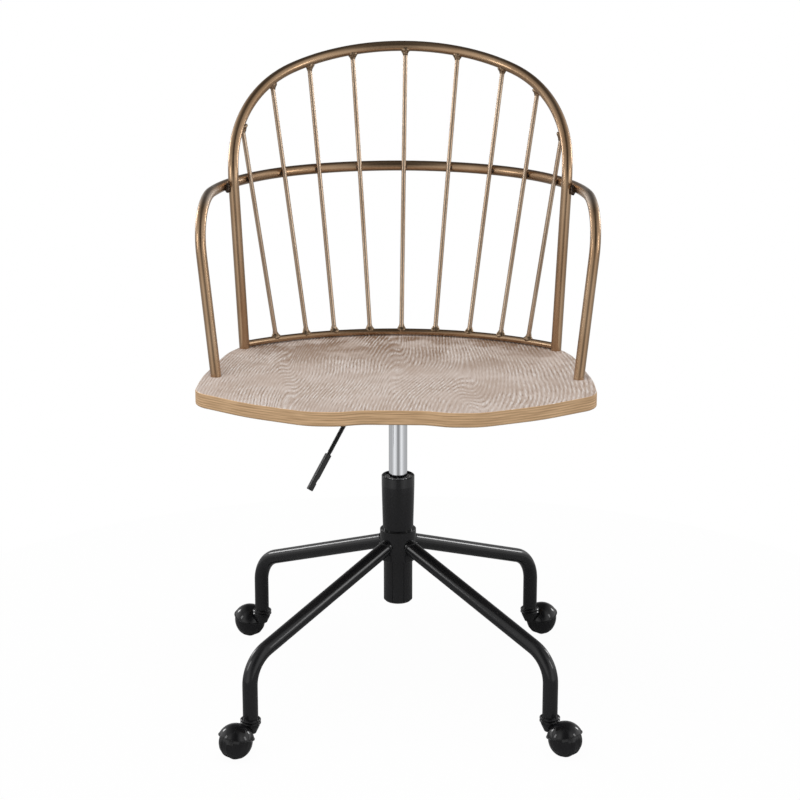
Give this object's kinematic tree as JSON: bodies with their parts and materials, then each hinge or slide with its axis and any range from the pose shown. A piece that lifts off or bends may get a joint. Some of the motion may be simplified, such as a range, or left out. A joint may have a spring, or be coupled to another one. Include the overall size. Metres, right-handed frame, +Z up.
{
  "type": "swivel desk chair",
  "caption": "Swivel desk chair with a wooden seat, a barrel back of bent metal tubes and spindles, a gas lift with a lever, and a tube base on hooded twin wheel casters.",
  "frame": {"origin": "on the floor under the column's axis", "axes": "+Z up along the column, -Y towards the sitter's front, +X to the right as seen from the front"},
  "size_m": [0.5954, 0.5919, 0.969],
  "materials": {
    "bronze_tube": "brushed tube with an antique bronze plating",
    "seat_wood": "open grained wood, brushed and whitewashed, with a plain tan edge",
    "black_steel": "gloss black powder coat",
    "chrome": "polished hard chrome",
    "bare_steel": "zinc plated steel",
    "caster_plastic": "glossy black nylon",
    "black_plastic": "black nylon",
    "grip_plastic": "fine textured black plastic",
    "grey_plastic": "greased grey acetal",
    "bumper_rubber": "moulded rubber"
  },
  "bodies": {
    "base": {"hub_tube": "black_steel", "leg_front_left": "black_steel", "leg_front_right": "black_steel", "leg_rear_right": "black_steel", "leg_rear_left": "black_steel", "caster_sockets": "black_plastic", "column_tube": "black_steel", "guide_bush": "grey_plastic", "thrust_bearing": "bare_steel"},
    "gas_rod": {"piston_rod": "bare_steel", "bearing_upper_washer": "bare_steel", "stop_bumper": "bumper_rubber", "rod_clip": "bare_steel"},
    "seat": {"gas_cylinder": "chrome", "cylinder_rod_guide": "grey_plastic", "mechanism_pan": "black_steel", "cone_socket": "black_steel", "lever_bracket": "black_steel", "lever_pin": "bare_steel", "pan_screws": "bare_steel", "seat_inserts": "bare_steel", "seat_panel": "seat_wood", "arm_rail": "bronze_tube", "bow": "bronze_tube", "bottom_rail": "bronze_tube", "frame_inserts": "bare_steel", "frame_screws": "bare_steel", "spindle_1": "bronze_tube", "spindle_2": "bronze_tube", "spindle_3": "bronze_tube", "spindle_4": "bronze_tube", "spindle_5": "bronze_tube", "spindle_6": "bronze_tube", "spindle_7": "bronze_tube", "spindle_8": "bronze_tube", "spindle_9": "bronze_tube"},
    "lever": {"lever_rod": "black_steel", "lever_grip": "grip_plastic"},
    "button": {"release_button": "bare_steel"},
    "caster_front_left": {"caster_front_left_hood": "caster_plastic", "caster_front_left_stem": "bare_steel", "caster_front_left_axle": "bare_steel"},
    "caster_front_left_wheel_1": {"caster_front_left_wheel_1": "caster_plastic"},
    "caster_front_left_wheel_2": {"caster_front_left_wheel_2": "caster_plastic"},
    "caster_front_right": {"caster_front_right_hood": "caster_plastic", "caster_front_right_stem": "bare_steel", "caster_front_right_axle": "bare_steel"},
    "caster_front_right_wheel_1": {"caster_front_right_wheel_1": "caster_plastic"},
    "caster_front_right_wheel_2": {"caster_front_right_wheel_2": "caster_plastic"},
    "caster_rear_right": {"caster_rear_right_hood": "caster_plastic", "caster_rear_right_stem": "bare_steel", "caster_rear_right_axle": "bare_steel"},
    "caster_rear_right_wheel_1": {"caster_rear_right_wheel_1": "caster_plastic"},
    "caster_rear_right_wheel_2": {"caster_rear_right_wheel_2": "caster_plastic"},
    "caster_rear_left": {"caster_rear_left_hood": "caster_plastic", "caster_rear_left_stem": "bare_steel", "caster_rear_left_axle": "bare_steel"},
    "caster_rear_left_wheel_1": {"caster_rear_left_wheel_1": "caster_plastic"},
    "caster_rear_left_wheel_2": {"caster_rear_left_wheel_2": "caster_plastic"}
  },
  "joints": [
    {"name": "seat_swivel", "type": "hinge", "parent": "base", "child": "gas_rod", "pos_m": [0, 0, 0.17], "axis": [0, 0, 1], "continuous": true},
    {"name": "seat_lift", "type": "slide", "parent": "gas_rod", "child": "seat", "axis": [0, 0, 1], "range_m": [-0.08, 0.02]},
    {"name": "lever_lift", "type": "hinge", "parent": "seat", "child": "lever", "pos_m": [-0.0213, -0.01491, 0.4853], "axis": [-0.5736, 0.8192, 0], "range_deg": [0, 6]},
    {"name": "button_press", "type": "slide", "parent": "seat", "child": "button", "axis": [0, 0, -1], "range_m": [0, 0.0028]},
    {"name": "caster_front_left_swivel", "type": "hinge", "parent": "base", "child": "caster_front_left", "pos_m": [-0.20957, -0.2287, 0.05], "axis": [0, 0, 1], "continuous": true},
    {"name": "caster_front_left_wheel_1_roll", "type": "hinge", "parent": "caster_front_left", "child": "caster_front_left_wheel_1", "pos_m": [-0.22984, -0.25082, 0.025], "axis": [0.7373, -0.6756, 0], "continuous": true},
    {"name": "caster_front_left_wheel_2_roll", "type": "hinge", "parent": "caster_front_left", "child": "caster_front_left_wheel_2", "pos_m": [-0.22984, -0.25082, 0.025], "axis": [0.7373, -0.6756, 0], "continuous": true},
    {"name": "caster_front_right_swivel", "type": "hinge", "parent": "base", "child": "caster_front_right", "pos_m": [0.2287, -0.20957, 0.05], "axis": [0, 0, 1], "continuous": true},
    {"name": "caster_front_right_wheel_1_roll", "type": "hinge", "parent": "caster_front_right", "child": "caster_front_right_wheel_1", "pos_m": [0.25082, -0.22984, 0.025], "axis": [0.6756, 0.7373, 0], "continuous": true},
    {"name": "caster_front_right_wheel_2_roll", "type": "hinge", "parent": "caster_front_right", "child": "caster_front_right_wheel_2", "pos_m": [0.25082, -0.22984, 0.025], "axis": [0.6756, 0.7373, 0], "continuous": true},
    {"name": "caster_rear_right_swivel", "type": "hinge", "parent": "base", "child": "caster_rear_right", "pos_m": [0.20957, 0.2287, 0.05], "axis": [0, 0, 1], "continuous": true},
    {"name": "caster_rear_right_wheel_1_roll", "type": "hinge", "parent": "caster_rear_right", "child": "caster_rear_right_wheel_1", "pos_m": [0.22984, 0.25082, 0.025], "axis": [-0.7373, 0.6756, 0], "continuous": true},
    {"name": "caster_rear_right_wheel_2_roll", "type": "hinge", "parent": "caster_rear_right", "child": "caster_rear_right_wheel_2", "pos_m": [0.22984, 0.25082, 0.025], "axis": [-0.7373, 0.6756, 0], "continuous": true},
    {"name": "caster_rear_left_swivel", "type": "hinge", "parent": "base", "child": "caster_rear_left", "pos_m": [-0.2287, 0.20957, 0.05], "axis": [0, 0, 1], "continuous": true},
    {"name": "caster_rear_left_wheel_1_roll", "type": "hinge", "parent": "caster_rear_left", "child": "caster_rear_left_wheel_1", "pos_m": [-0.25082, 0.22984, 0.025], "axis": [-0.6756, -0.7373, 0], "continuous": true},
    {"name": "caster_rear_left_wheel_2_roll", "type": "hinge", "parent": "caster_rear_left", "child": "caster_rear_left_wheel_2", "pos_m": [-0.25082, 0.22984, 0.025], "axis": [-0.6756, -0.7373, 0], "continuous": true}
  ],
  "couplings": [
    {"joint": "button_press", "follows": "lever_lift", "m_per_rad": 0.026}
  ]
}
